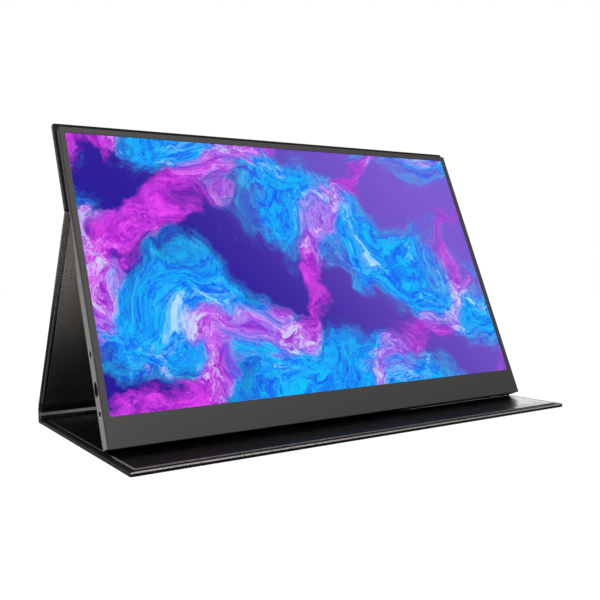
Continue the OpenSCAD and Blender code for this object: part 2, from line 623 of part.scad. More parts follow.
// Sockets
module port_shell(v, shell, tongue) on_monitor() translate([half_w - 0.1 - shell.x, v, port_w]) {
    difference() {
        rotate([90, 0, 90]) linear_extrude(shell.x)
            strip(-shell.y / 2, shell.y / 2, shell.z, shell.z / 2, shell.z / 2);
        translate([0.8, 0, 0]) rotate([90, 0, 90]) linear_extrude(shell.x)
            strip(-shell.y / 2 + 0.3, shell.y / 2 - 0.3, shell.z - 0.6, shell.z / 2 - 0.3, shell.z / 2 - 0.3);
    }
    box(0.7, shell.x - 1, -tongue / 2, tongue / 2, -0.35, 0.35);
}
module usb_port_lower() color("#b9bbbe") port_shell(usb_v, usb_shell, 6.2);
module usb_port_upper() color("#b9bbbe") port_shell(usb_v + usb_pitch, usb_shell, 6.2);
module hdmi_port() color("#b9bbbe") port_shell(hdmi_v, hdmi_shell, 8);
module audio_jack() color("#b4b6b8") on_monitor() translate([0, jack_v, port_w]) difference() {
    union() {
        rod_x(jack_barrel_r, jack_x0, jack_x0 + 3);
        box(-half_w + wall + 0.2, jack_x0 + jack_depth, -jack_body_v / 2, jack_body_v / 2,
            -jack_body_w / 2, jack_body_w / 2);
    }
    rod_x(jack_r, jack_x0 - cut, jack_x0 + jack_depth - 0.8);
}
module status_light() color("#e6f2ff") on_monitor() translate([0, light_v, port_w]) {
    rod_x(0.6, -half_w + 0.1, -half_w + wall + 2);
    box(-half_w + wall + 1.9, -half_w + wall + 3.4, -0.9, 0.9, -0.9, pcb_back - port_w);
}

// Menu dial: the wheel rolls in a yoke, and the yoke presses a switch
module dial_switch() color("#38393b") on_monitor() difference() {
    box(carrier_x1 + 0.5, carrier_x1 + 5.5, dial_v - 4.5, dial_v + 4.5, port_w - 1.6, pcb_back);
    translate([0, dial_v, port_w]) rod_x(stem_r + run_gap, carrier_x1, carrier_x1 + 3.4);
}
module dial_carrier() color("#2a2a2b") on_monitor() translate([0, dial_v, port_w]) difference() {
    union() {
        box(carrier_x1 - 1, carrier_x1, -ear_half - 1.5, ear_half + 1.5, -ear_w0 - ear_t, ear_w0 + ear_t);
        for (s = [-1, 1]) {
            box(dial_x, carrier_x1 - 0.5, -ear_half, ear_half, s * (ear_w0 + ear_t / 2) - ear_t / 2,
                s * (ear_w0 + ear_t / 2) + ear_t / 2);
            translate([dial_x, 0, 0]) rod_z(ear_half, s * (ear_w0 + ear_t / 2) - ear_t / 2,
                s * (ear_w0 + ear_t / 2) + ear_t / 2);
        }
        rod_x(stem_r, carrier_x1 - 0.2, carrier_x1 + 2.4);
    }
    translate([dial_x, 0, 0]) rod_z(axle_r + run_gap, -thick_low, thick_low);
}
dial_teeth = 24;
module dial_wheel() color("#161617") on_monitor() translate([dial_x, dial_v, port_w]) {
    difference() {
        rod_z(dial_r, -dial_t / 2, dial_t / 2);
        for (i = [0:dial_teeth - 1]) rotate(i * 360 / dial_teeth)
            translate([dial_r + 0.12, 0, 0]) rod_z(0.3, -dial_t, dial_t);
    }
    rod_z(axle_r, -ear_w0 - ear_t, ear_w0 + ear_t);
}
module button_switch() color("#38393b") on_monitor()
    box(button_x0 + button_in + button_travel + 0.1, button_x0 + button_in + 4.5, button_v - 3, button_v + 3,
        port_w - 1.6, pcb_back);
module power_button() color("#111112") on_monitor() translate([0, button_v, port_w]) {
    translate([button_x0, 0, 0]) rotate([90, 0, 90]) linear_extrude(wall + 0.5)
        strip(-button_l / 2, button_l / 2, button_w, button_w / 2, button_w / 2);
    box(-half_w + wall + 0.1, -half_w + wall + 0.7, -button_l / 2 - 0.8, button_l / 2 + 0.8,
        -button_w / 2 - 0.5, button_w / 2 + 0.5);
    box(-half_w + wall + 0.4, button_x0 + button_in, -stem_r - 0.3, stem_r + 0.3, -stem_r - 0.3, stem_r + 0.3);
}

// Speakers lie on the housing's floor over their slots
module speaker(s) on_monitor() difference() {
    mid = s * (speaker_x + speaker_l / 2);
    box(mid - speaker_l / 2, mid + speaker_l / 2, speaker_v, speaker_v + speaker_h,
        low_floor + 0.05, low_floor + 0.05 + speaker_t);
    translate([mid, speaker_v + speaker_h / 2, 0])
        rod_z(speaker_h / 2 - 1.5, low_floor - cut, low_floor + 1.2);
}
module speaker_left() color("#1f2022") speaker(-1);
module speaker_right() color("#1f2022") speaker(1);
// Flat twin leads, all at one height, each drawn as a path in the plane of the back
lead_across = 0.9;
lead_v = speaker_v + speaker_h - 3;
lead_in = 1;
lead_socket_v = main_v0 + 8;
lead_socket_h = 6;
module lead_2d(p) for (i = [0:len(p) - 2]) {
    d = p[i + 1] - p[i];
    n = [-d.y, d.x] / norm(d) * lead_across / 2;
    polygon([p[i] - n, p[i + 1] - n, p[i + 1] + n, p[i] + n]);
    if (i > 0) translate(p[i]) circle(lead_across / 2);
}
module lead_path(x0, x1, v1) translate([0, 0, socket_w - cable_t / 2]) linear_extrude(cable_t)
    lead_2d([[x0, lead_v], [x1, lead_v], [x1, v1], [main_x0 + lead_in, v1]]);
module speaker_leads() color("#b03a30") on_monitor() {
    lead_path(-speaker_x, main_x0 - 4 * lead_across, lead_socket_v + 0.75 * lead_socket_h);
    lead_path(speaker_x, main_x0 - 2 * lead_across, lead_socket_v + 0.25 * lead_socket_h);
}

base_skin();
base_board();
base_lining();
base_magnets();
spine_skin();
spine_board();
spine_lining();
strut_skin();
strut_board();
strut_lining();
carrier_skin();
carrier_board();
carrier_lining();
carrier_magnets();
rear_housing();
mid_frame();
front_bezel();
lcd_cell();
diffuser_sheet();
light_guide();
led_strip();
reflector_sheet();
panel_tray();
driver_board();
panel_cable();
main_board();
board_chips();
shield_can();
board_sockets();
side_board();
side_cable();
usb_port_lower();
usb_port_upper();
hdmi_port();
audio_jack();
status_light();
dial_switch();
dial_carrier();
dial_wheel();
button_switch();
power_button();
speaker_left();
speaker_right();
speaker_leads();
steel_strips();
housing_screws();
board_screws();
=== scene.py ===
import bpy
import bmesh
import math
from mathutils import Vector, Matrix, noise


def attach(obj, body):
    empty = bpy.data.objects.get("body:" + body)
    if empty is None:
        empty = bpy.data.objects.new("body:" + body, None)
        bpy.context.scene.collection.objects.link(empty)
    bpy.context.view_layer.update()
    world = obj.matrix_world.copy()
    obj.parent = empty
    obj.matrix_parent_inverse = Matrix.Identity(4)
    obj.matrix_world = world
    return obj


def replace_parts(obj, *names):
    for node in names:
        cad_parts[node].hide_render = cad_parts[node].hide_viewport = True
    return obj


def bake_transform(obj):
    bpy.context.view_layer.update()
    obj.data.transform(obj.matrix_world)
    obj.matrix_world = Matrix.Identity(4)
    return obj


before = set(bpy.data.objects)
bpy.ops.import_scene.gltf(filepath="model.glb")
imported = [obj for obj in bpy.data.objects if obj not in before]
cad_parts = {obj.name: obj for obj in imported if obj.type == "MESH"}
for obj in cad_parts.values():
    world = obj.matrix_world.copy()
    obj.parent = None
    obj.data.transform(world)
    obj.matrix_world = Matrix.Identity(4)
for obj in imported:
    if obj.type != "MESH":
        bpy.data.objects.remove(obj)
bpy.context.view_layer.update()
print("frame loaded")

mm = 0.001

# Where the cover's panels and the monitor stand, in millimetres and degrees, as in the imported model
stand = {
    "creaseY": 89.2,  # both rear creases, one above the other
    "noseR": 1.35,
    "spinePitch": 9.2,
    "strutAngle": 119.164,
    "strutLength": 159.49,
    "monitorY": -51.35,  # the foot's front edge
    "monitorZ": 7.023,
    "tilt": 21.6,
    "carrierW": -5.85,
    "foldV": 155.9,  # the upper crease, up the monitor's plane
    "foldY": 11.48,
    "foldZ": 149.822,
}
tilt = math.radians(stand["tilt"])
strutTurn = math.radians(stand["strutAngle"])


def turned(y, z, degrees):
    return Matrix.Translation((0, y * mm, z * mm)) @ Matrix.Rotation(math.radians(degrees), 4, "X")


onBase = turned(stand["creaseY"], stand["noseR"], 0)
onSpine = turned(stand["creaseY"], stand["noseR"], 90)
onStrut = turned(stand["creaseY"], stand["noseR"] + stand["spinePitch"], stand["strutAngle"])
onMonitor = turned(stand["monitorY"], stand["monitorZ"], 90 - stand["tilt"])
onCarrier = onMonitor @ Matrix.Translation((0, 0, stand["carrierW"] * mm))


def linear(value):  # one screen value, 0 to 255, as scene-linear
    return value / 255 / 12.92 if value <= 10 else ((value / 255 + 0.055) / 1.055) ** 2.4


def tone(r, g, b):
    return (linear(r), linear(g), linear(b), 1.0)


def shaded(colour, factor):
    return tuple(min(1.0, c * factor) for c in colour[:3]) + (1.0,)


class Wire:  # a node's output that takes part in sums
    def __init__(self, graph, node, output=0):
        self.graph = graph
        self.node = node
        self.socket = node.outputs[output]

    def out(self, name):
        return Wire(self.graph, self.node, name)

    def calc(self, operation, *others):
        inputs = dict(enumerate((self,) + others))
        return self.graph.add("ShaderNodeMath", {"operation": operation}, inputs)

    def __add__(self, other):
        return self.calc("ADD", other)

    def __sub__(self, other):
        return self.calc("SUBTRACT", other)

    def __rsub__(self, other):
        return self.graph.add("ShaderNodeMath", {"operation": "SUBTRACT"}, {0: other, 1: self})

    def __mul__(self, other):
        return self.calc("MULTIPLY", other)

    def __abs__(self):
        return self.calc("ABSOLUTE")

    __radd__ = __add__
    __rmul__ = __mul__

    def either(self, other):  # two masks as one
        return self.calc("MAXIMUM", other)

    def swing(self):  # waves between 0 and 1
        return self.calc("SINE") * 0.5 + 0.5

    def stretch(self, low, high, smooth=True):  # 0 at low and 1 at high
        kind = "SMOOTHSTEP" if smooth else "LINEAR"
        limits = {"Value": self, "From Min": low, "From Max": high}
        return self.graph.add("ShaderNodeMapRange", {"interpolation_type": kind}, limits)

    def fade(self, low, high, smooth=True):  # the same between two places in millimetres
        return self.stretch(low * mm, high * mm, smooth)


class Graph:  # the nodes of a material or of the world
    def __init__(self, owner):
        owner.use_nodes = True
        self.tree = owner.node_tree

    def fill(self, node, inputs):
        for key, value in inputs.items():
            if isinstance(value, Wire):
                self.tree.links.new(value.socket, node.inputs[key])
            else:
                node.inputs[key].default_value = value

    def add(self, kind, settings=None, inputs=None, output=0):
        node = self.tree.nodes.new(kind)
        for key, value in (settings or {}).items():
            setattr(node, key, value)
        self.fill(node, inputs or {})
        return Wire(self, node, output)

    def seen(self):  # 1 for rays of the camera, of reflections and through clear plastic
        ray = self.add("ShaderNodeLightPath")
        kinds = ("Is Camera Ray", "Is Glossy Ray", "Is Transmission Ray")
        camera, glossy, through = (ray.out(kind) for kind in kinds)
        return camera.either(glossy).either(through)


class Finish(Graph):  # one material with its Principled shader
    def __init__(self, name, sockets=None):
        self.material = bpy.data.materials.new(name)
        super().__init__(self.material)
        self.shader = self.tree.nodes["Principled BSDF"]
        self.coords = self.add("ShaderNodeTexCoord").out("Object")
        self.set(sockets or {})

    def set(self, sockets):
        self.fill(self.shader, sockets)

    def split(self, vector=None):
        parts = self.add("ShaderNodeSeparateXYZ", inputs={0: vector or self.coords})
        return parts.out("X"), parts.out("Y"), parts.out("Z")

    def join(self, x, y, z=0.0):
        return self.add("ShaderNodeCombineXYZ", inputs={0: x, 1: y, 2: z})

    def shift(self, vector, offset, operation="ADD"):
        return self.add("ShaderNodeVectorMath", {"operation": operation}, {0: vector, 1: offset})

    def scaled(self, vector, factor):
        inputs = {"Vector": vector, "Scale": factor}
        return self.add("ShaderNodeVectorMath", {"operation": "SCALE"}, inputs)

    def noise(self, scale, detail=3.0, rough=0.5, at=None, output=0):
        inputs = {"Vector": at or self.coords, "Scale": scale, "Detail": detail, "Roughness": rough}
        return self.add("ShaderNodeTexNoise", inputs=inputs, output=output)

    def cells(self, scale, at, feature="DISTANCE_TO_EDGE"):
        inputs = {"Vector": at, "Scale": scale}
        return self.add("ShaderNodeTexVoronoi", {"feature": feature}, inputs, "Distance")

    def mix(self, factor, a, b):  # sockets 6 and 7 and output 2 are the ones for colours
        return self.add("ShaderNodeMix", {"data_type": "RGBA"}, {0: factor, 6: a, 7: b}, 2)

    def bump(self, height, strength, distance):
        inputs = {"Height": height, "Strength": strength, "Distance": distance}
        return self.add("ShaderNodeBump", inputs=inputs)

    def edges(self, size):  # 1 on outer edges, from the surface's own bend, which is 0.5 where it is flat
        return self.add("ShaderNodeNewGeometry").out("Pointiness").stretch(0.5, 0.5 + size)

    def aside(self):  # distance from the middle of the width
        return abs(self.split()[0])

    def upStrut(self):  # distance up the strut from its lower crease
        x, y, z = self.split()
        return (y - stand["creaseY"] * mm) * math.cos(strutTurn) + z * math.sin(strutTurn)

    def monitorPlane(self):  # across, up and out of the screen
        x, y, z = self.split()
        y, z = y - stand["monitorY"] * mm, z - stand["monitorZ"] * mm
        return x, y * math.sin(tilt) + z * math.cos(tilt), z * math.sin(tilt) - y * math.cos(tilt)


# Leather of the cover and its smooth lining
leatherLook = {
    "dark": (4, 4, 4),
    "light": (34, 31, 29),
    "rough": 0.36,
    "grain": 780.0,
    "depth": 0.00025,
    "gloss": 0.1,
    "wander": (240.0, 0.002),  # how the pebbles leave their rows, pace and reach
    "fine": 4200.0,
    "clouds": (38.0, 190.0),
    "wear": 420.0,
}
baseLook = {**leatherLook, "gloss": 0.03}
liningLook = {
    **leatherLook,
    "dark": (4, 3, 3),
    "light": (8, 7, 7),
    "rough": 0.2,
    "grain": 1500.0,
    "depth": 0.00003,
    "gloss": 0.12,
}
paintedLight = {  # tones of painted highlights and painted light, the places where they fade in, and their patches: pace and least share
    "front": (186, 182, 178),
    "frontHeight": (1.65, 2.15),
    "frontPlace": (-89.7, -90.2),
    "frontPatches": (900.0, 0.45),
    "ridge": (128, 122, 117),
    "ridgeFront": (-85.5, -85.9),
    "ridgeSide": (173.8, 174.2),
    "ridgeLength": (-50.0, -56.0),
    "ridgePatches": (1200.0, 0.3),
    "fold": (92, 88, 85),
    "foldLine": ((176.1, 176.6), (178.0, 177.5)),
    "foldEdge": (174.6, 175.0),
    "foldHeight": (70.0, 150.0),
    "foldPatches": (260.0, 0.6),
    "side": (70, 66, 63),
    "sidePlace": (178.0, 178.5),
    "sidePatches": (260.0, 0.6),
}


def patchy(f, scale, low):  # uneven patches of painted highlight
    return f.noise(scale, 3.0, 0.7).stretch(0.3, 0.62) * (1 - low) + low


def frontRim(f):  # the base's turned front edge, with a painted highlight in patches on its upper half
    x, y, z = f.split()
    rim = z.fade(*paintedLight["frontHeight"]) * y.fade(*paintedLight["frontPlace"])
    return rim * patchy(f, *paintedLight["frontPatches"]), paintedLight["front"]


def foldRim(f):  # the strut's turned sides: a painted highlight along the line where the leather folds over, and painted light that makes them paler near the top
    x = f.aside()
    outer, inner = paintedLight["foldLine"]
    line = x.fade(*outer) * x.fade(*inner)
    wide = x.fade(*paintedLight["foldEdge"]) * f.upStrut().fade(*paintedLight["foldHeight"])
    return line.either(wide) * patchy(f, *paintedLight["foldPatches"]), paintedLight["fold"]


def sideRim(f):  # the carrier's outer edge, with a painted highlight in patches
    edge = f.aside().fade(*paintedLight["sidePlace"])
    return edge * patchy(f, *paintedLight["sidePatches"]), paintedLight["side"]


def padRidge(f):  # front and side edge of the base's lining, with a painted highlight ahead of the foot
    x, y, z = f.split()
    side = abs(x).fade(*paintedLight["ridgeSide"]) * y.fade(*paintedLight["ridgeLength"])
    ridge = y.fade(*paintedLight["ridgeFront"]).either(side)
    return ridge * patchy(f, *paintedLight["ridgePatches"]), paintedLight["ridge"]


def makeLeather(name, look, rim=None):  # pebbled, paler on the pebbles with painted shade in the grooves between them, and paler on worn edges
    f = Finish(name, {"Specular IOR Level": look["gloss"]})
    pace, reach = look["wander"]
    warped = f.shift(f.coords, f.scaled(f.noise(pace, 2.0, output="Color"), reach))
    # grain pebbles, their dark grooves partly painted shade
    pebble = f.cells(look["grain"], warped).stretch(0.0, 0.3)
    fine = f.noise(look["fine"], 3.0, 0.6)
    large, middling = look["clouds"]
    wide = f.noise(large) * 0.6 + f.noise(middling, 4.0, 0.65) * 0.4
    worn = f.edges(0.06) * f.noise(look["wear"]).stretch(0.35, 0.7)
    pale = (wide * 0.4 + pebble * 0.6 + worn * 0.35).stretch(0.25, 1.0)
    colour = f.mix(pale, tone(*look["dark"]), tone(*look["light"]))
    # rim paints a highlight over the leather's colour
    if rim:
        mask, paintedLightTone = rim(f)
        colour = f.mix(mask, colour, tone(*paintedLightTone))
    f.set({
        "Base Color": colour,
        "Roughness": look["rough"] + 0.12 - pebble * 0.16 + (wide - 0.5) * 0.3,
        "Normal": f.bump(pebble * 0.8 + fine * 0.25 + wide * 0.5, 0.7, look["depth"]),
    })
    return f.material


hatching = {
    "step": 1.7,
    "slants": (0.8, -1.1),
    "paintedLight": (40.0, 150.0),
    "thread": ((15, 13, 12), (166, 160, 155)),  # in painted shade low down and in painted light up the strut
    "ground": ((5, 4, 4), (56, 53, 51)),
    "depth": 0.0002,
    "gloss": 0.12,
    "rough": 0.6,
    "clouds": 30.0,
    "fine": 3500.0,
}


def makeHatch(name):  # diagonal cross-hatch pressed into the lining, with painted light that makes it paler towards the top
    f = Finish(name, {"Specular IOR Level": hatching["gloss"]})
    x, up = f.split()[0], f.upStrut()
    turns = 2 * math.pi / (hatching["step"] * mm)
    first, second = (((x + up * slant) * turns).calc("SINE") for slant in hatching["slants"])
    weave = first.either(second).stretch(-0.2, 1.0)
    # painted light: paler up the strut, with a little random tone
    paintedLightAndMottle = up.fade(*hatching["paintedLight"]) * 0.85 + f.noise(hatching["clouds"], 2.0) * 0.15
    thread, ground = (f.mix(paintedLightAndMottle, *(tone(*c) for c in hatching[key])) for key in ("thread", "ground"))
    f.set({
        "Base Color": f.mix(weave, ground, thread),
        "Roughness": hatching["rough"] - weave * 0.16,
        "Normal": f.bump(weave + f.noise(hatching["fine"]) * 0.2, 0.7, hatching["depth"]),
    })
    return f.material


gathering = {
    "step": 1.6,
    "wander": (120.0, 1.2),  # pace and reach
    "paintedShadeFade": (-178.0, -130.0),  # painted shade: darker to the left of here
    # pale tones: a painted highlight on the fold
    "valley": ((66, 62, 59), (120, 115, 111)),  # left end and the rest
    "rib": ((140, 134, 129), (206, 201, 196)),
    "speckle": 700.0,
    "depth": 0.0002,
    "gloss": 0.15,
    "rough": 0.5,
}


def makeFold(name):  # thin leather of the spine's inner side, gathered into small ribs, in pale tones painted as the light caught on the fold, with painted shade to the left
    f = Finish(name, {"Specular IOR Level": gathering["gloss"]})
    x = f.split()[0]
    turns = 2 * math.pi / (gathering["step"] * mm)
    pace, reach = gathering["wander"]
    ribs = ((x + f.noise(pace, 2.0) * (reach * mm)) * turns).swing()
    paintedShadeFade = x.fade(*gathering["paintedShadeFade"])
    valley, rib = (f.mix(paintedShadeFade, *(tone(*c) for c in gathering[key])) for key in ("valley", "rib"))
    f.set({
        "Base Color": f.mix(ribs * 0.6 + f.noise(gathering["speckle"]) * 0.4, valley, rib),
        "Roughness": gathering["rough"] + ribs * 0.1,
        "Normal": f.bump(ribs, 0.6, gathering["depth"]),
    })
    return f.material


# Plastics
mould = {
    "grain": 5200.0,
    "depth": 0.00002,
    "speckle": 0.12,
    "blotch": 22.0,
}
bezelLook = {
    "front": (76, 75, 73),
    "side": (44, 43, 42),
    "sidePlace": (175.75, 176.05),
}


# painted shade: the bezel's sides darker than its front
def bezelSide(f):
    return f.aside().fade(*bezelLook["sidePlace"]), bezelLook["side"]


def makePlastic(name, colour, rough, gloss=0.5, look=mould, rim=None, clear=0.0):
    f = Finish(name, {"Specular IOR Level": gloss, "Transmission Weight": clear})
    fine, wide = f.noise(look["grain"], 2.0, 0.55), f.noise(mould["blotch"])
    base, speckle = tone(*colour), look["speckle"]
    pale = fine * 0.6 + wide * 0.4 + f.edges(0.05) * 0.3
    body = f.mix(pale, shaded(base, 1 - speckle), shaded(base, 1 + speckle))
    # rim paints shade over the body
    if rim:
        mask, paintedLightTone = rim(f)
        body = f.mix(mask, body, tone(*paintedLightTone))
    f.set({
        "Base Color": body,
        "Roughness": rough - 0.05 + wide * 0.1,
        "Normal": f.bump(fine, 0.35, look["depth"]),
    })
    return f.material


housingLook = {
    # upper is darker than lower as painted shade
    "upper": (88, 86, 83),
    "lower": (136, 133, 130),
    "change": (190.0, 60.0),
    "dark": (2, 2, 2),
    "scoopMouth": (-176.25, -176.1),
    "scoopFloor": (-172.2, -172.5),
    "scoopMiddle": 36.8,
    "scoopReach": (7.4, 7.0),
    "scoopStart": (32.6, 34.6),
    "footEdge": (0.9, 0.5),
    "gloss": 0.06,
    "rough": 0.42,
}


def makeHousing(name):  # paler towards the foot, with painted shade darkening it higher up, and painted shade as black inside the dial's scoop and under the foot
    f = Finish(name, {"Specular IOR Level": housingLook["gloss"]})
    x, v, w = f.monitorPlane()
    fine, wide = f.noise(mould["grain"], 2.0, 0.55), f.noise(mould["blotch"])
    # painted shade: black inside the dial's scoop
    mouth, floor = (x.fade(*housingLook[key], smooth=False) for key in ("scoopMouth", "scoopFloor"))
    lens = abs(v - housingLook["scoopMiddle"] * mm).fade(*housingLook["scoopReach"])
    scoop = mouth * floor * lens * v.fade(*housingLook["scoopStart"])
    # painted shade darkens the housing higher up, with some random tone
    shade = fine * 0.15 + wide * 0.15 + v.fade(*housingLook["change"]) * 0.7
    body = f.mix(shade, tone(*housingLook["upper"]), tone(*housingLook["lower"]))
    # painted shade: black inside the scoop and as a contact shadow under the foot
    paintedShadeMask = scoop.either(v.fade(*housingLook["footEdge"]))
    f.set({
        "Base Color": f.mix(paintedShadeMask, body, tone(*housingLook["dark"])),
        "Roughness": housingLook["rough"] + wide * 0.1,
        "Normal": f.bump(fine, 0.35, mould["depth"]),
    })
    return f.material


# Metals, boards and the picture
jackLook = {
    "v": 22.5,
    "w": -5.6,
    "bore": (1.95, 1.84),
    "barrel": ((180, 181, 184), (224, 225, 228)),
    "dark": (3, 3, 3),
    "streaks": 1400.0,
    "rough": 0.2,
}


def makeJack(name):  # bright barrel, with painted shade dark in its bore
    f = Finish(name)
    x, v, w = f.monitorPlane()
    v, w = v - jackLook["v"] * mm, w - jackLook["w"] * mm
    # painted shade: the bore's inside is black
    bore = (v * v + w * w).calc("SQRT").fade(*jackLook["bore"])
    streaks = f.noise(jackLook["streaks"])
    barrel = f.mix(streaks, *(tone(*c) for c in jackLook["barrel"]))
    f.set({
        "Base Color": f.mix(bore, barrel, tone(*jackLook["dark"])),
        "Metallic": 1 - bore,
        "Roughness": jackLook["rough"] + bore * 0.7 + streaks * 0.08,
    })
    return f.material


metalLook = {
    "streaks": 900.0,
    "brush": 0.04,
    "smudges": 60.0,
    "depth": 0.00002,
}


def makeMetal(name, colour, rough, brushed=False):
    f = Finish(name, {"Metallic": 1.0})
    x, y, z = f.split()
    along = x * metalLook["brush"] if brushed else x
    streaks = f.noise(metalLook["streaks"], 3.0, 0.6, at=f.join(along, y, z))
    smudge = f.noise(metalLook["smudges"], 2.0)
    base = tone(*colour)
    f.set({
        "Base Color": f.mix(streaks * 0.5 + smudge * 0.5, shaded(base, 0.8), base),
        "Roughness": rough + streaks * 0.12 + smudge * 0.05,
        "Normal": f.bump(streaks, 0.2, metalLook["depth"]),
    })
    return f.material


boardLook = {
    "mask": (18, 82, 46),
    "track": (44, 128, 74),
    "copper": (196, 178, 120),
    "tracks": 260.0,
    "trackWidth": 0.035,
    "rowShift": 0.35,
    "pads": 420.0,
    "depth": 0.00004,
    "gloss": 0.5,
    "coat": 0.3,
    "rough": 0.35,
}


def makeBoard(name):  # green mask with copper tracks under it
    f = Finish(name, {"Specular IOR Level": boardLook["gloss"], "Coat Weight": boardLook["coat"]})
    x, v, w = f.monitorPlane()
    tracks = f.add("ShaderNodeTexBrick", {"offset": boardLook["rowShift"]}, {
        "Vector": f.join(x, v),
        "Scale": boardLook["tracks"],
        "Mortar Size": boardLook["trackWidth"],
    }, "Fac")
    pads = f.cells(boardLook["pads"], f.join(x, v), "F1").stretch(0.22, 0.16)
    copper = pads * f.noise(90.0).stretch(0.5, 0.6)
    green = f.mix(tracks, tone(*boardLook["mask"]), tone(*boardLook["track"]))
    f.set({
        "Base Color": f.mix(copper, green, tone(*boardLook["copper"])),
        "Roughness": boardLook["rough"] + f.noise(300.0) * 0.1,
        "Normal": f.bump(tracks + pads, 0.3, boardLook["depth"]),
    })
    return f.material


picture = {
    "scale": 6.4,
    "width": (-172.1, 172.1),
    "height": (19.2, 212.8),
    "flow": 0.9,
    "bend": 1.5,
    "eddies": 2.6,
    "curl": 0.6,
    "smoke": 4.5,
    "threads": 13.0,
    "powder": 34.0,
    "veils": [(1.1, 2.4, 3.2, 0.0), (-1.6, 1.9, 4.6, 1.3)],  # slant across, slant up, turns and start
    "indigo": (38, 20, 150),
    "violet": (124, 88, 208),
    "blue": (16, 82, 240),
    "cyan": (12, 194, 252),
    "purple": (150, 10, 196),
    "magenta": (240, 74, 250),
    "pale": (196, 226, 255),
    "glass": (0.002, 0.002, 0.003, 1),
    "rough": 0.45,
    "gloss": 0.04,
    "light": 1.0,
}


def makeScreen(name):  # generic flowing veils of colour, all its own
    f = Finish(name, {
        "Base Color": picture["glass"],
        "Roughness": picture["rough"],
        "Specular IOR Level": picture["gloss"],
        "Emission Strength": picture["light"],
    })
    x, v, w = f.monitorPlane()

    def ink(first, second, factor):
        return f.mix(factor, tone(*picture[first]), tone(*picture[second]))

    def bent(place, flow, reach):
        return f.shift(place, f.scaled(f.shift(flow, (0.5, 0.5, 0.5), "SUBTRACT"), reach))

    place = f.join(x * picture["scale"], v * picture["scale"])
    wide = bent(place, f.noise(picture["flow"], at=place, output="Color"), picture["bend"])
    eddies = f.noise(picture["eddies"], 6.0, 0.62, at=wide, output="Color")
    fine = bent(wide, eddies, picture["curl"])
    bx, by, bz = f.split(fine)
    veils = (((bx * a + by * b) * turns + start).swing() for a, b, turns, start in picture["veils"])
    first, second = veils
    smoke = f.noise(picture["smoke"], 10.0, 0.72, at=fine)
    threads = f.noise(picture["threads"], 8.0, 0.75, at=f.join(bx * 0.5, by * 2.0, bz))
    powder = f.noise(picture["powder"], 6.0, 0.8, at=fine)
    across = x.fade(*picture["width"], smooth=False)
    up = v.fade(*picture["height"], smooth=False)
    ground = ink("indigo", "violet", (across * 0.8 + up * 0.35).stretch(0.3, 1.05))
    blue = ink("blue", "cyan", threads.stretch(0.34, 0.64))
    pink = ink("purple", "magenta", threads.stretch(0.32, 0.66))
    blueVeil = (first * 0.75 + smoke * 0.9 + powder * 0.15).stretch(0.66, 1.2)
    pinkVeil = (second * 0.8 + smoke * 0.8 + powder * 0.15 + (1 - across) * 0.2).stretch(1.08, 1.5)
    both = f.mix(pinkVeil, f.mix(blueVeil, ground, blue), pink)
    wisps = smoke.stretch(0.38, 0.72) * (threads * 0.6 + powder * 0.4).stretch(0.36, 0.66)
    glow = (first * (0.35 + second) * wisps).stretch(0.08, 0.5)
    f.set({"Emission Color": f.mix(glow * 0.9, both, tone(*picture["pale"]))})
    return f.material


leather = makeLeather("coverLeather", leatherLook)
baseLeather = makeLeather("baseLeather", baseLook, frontRim)
strutLeather = makeLeather("strutLeather", leatherLook, foldRim)
carrierLeather = makeLeather("carrierLeather", leatherLook, sideRim)
foldLeather = makeFold("foldLeather")
smooth = makeLeather("smoothLining", liningLook)
padSmooth = makeLeather("padLining", liningLook, padRidge)
hatch = makeHatch("hatchedLining")
bezelPlastic = makePlastic("bezelPlastic", bezelLook["front"], 0.55, gloss=0.12, rim=bezelSide)
housingPlastic = makeHousing("housingPlastic")
seamPlastic = makePlastic("seamPlastic", (3, 3, 3), 0.8, gloss=0.0)
blackPlastic = makePlastic("blackPlastic", (7, 7, 7), 0.6, gloss=0.03)
buttonBlack = makePlastic("buttonBlack", (2, 2, 2), 0.6, gloss=0.0)
jackMetal = makeJack("jackMetal")
creamPlastic = makePlastic("creamPlastic", (225, 218, 200), 0.5)
cableFilm = makePlastic("cableFilm", (212, 204, 184), 0.45)
whiteFilm = makePlastic("whiteFilm", (238, 238, 236), 0.6)
clearPipe = makePlastic("clearPipe", (214, 226, 240), 0.15, clear=0.6)
lampYellow = makePlastic("lampYellow", (226, 196, 96), 0.3)
redLead = makePlastic("redLead", (168, 42, 36), 0.45)
fibre = {"grain": 1800.0, "depth": 0.0001, "speckle": 0.3}
pressBoard = makePlastic("pressBoard", (112, 98, 78), 0.85, look=fibre)
brightMetal = makeMetal("brightMetal", (214, 215, 217), 0.16)
pressedMetal = makeMetal("pressedMetal", (176, 178, 181), 0.3, brushed=True)
platedMetal = makeMetal("platedMetal", (158, 160, 163), 0.3)
blackMetal = makeMetal("blackMetal", (52, 53, 55), 0.35)
boardGreen = makeBoard("boardGreen")
screenPicture = makeScreen("screenPicture")

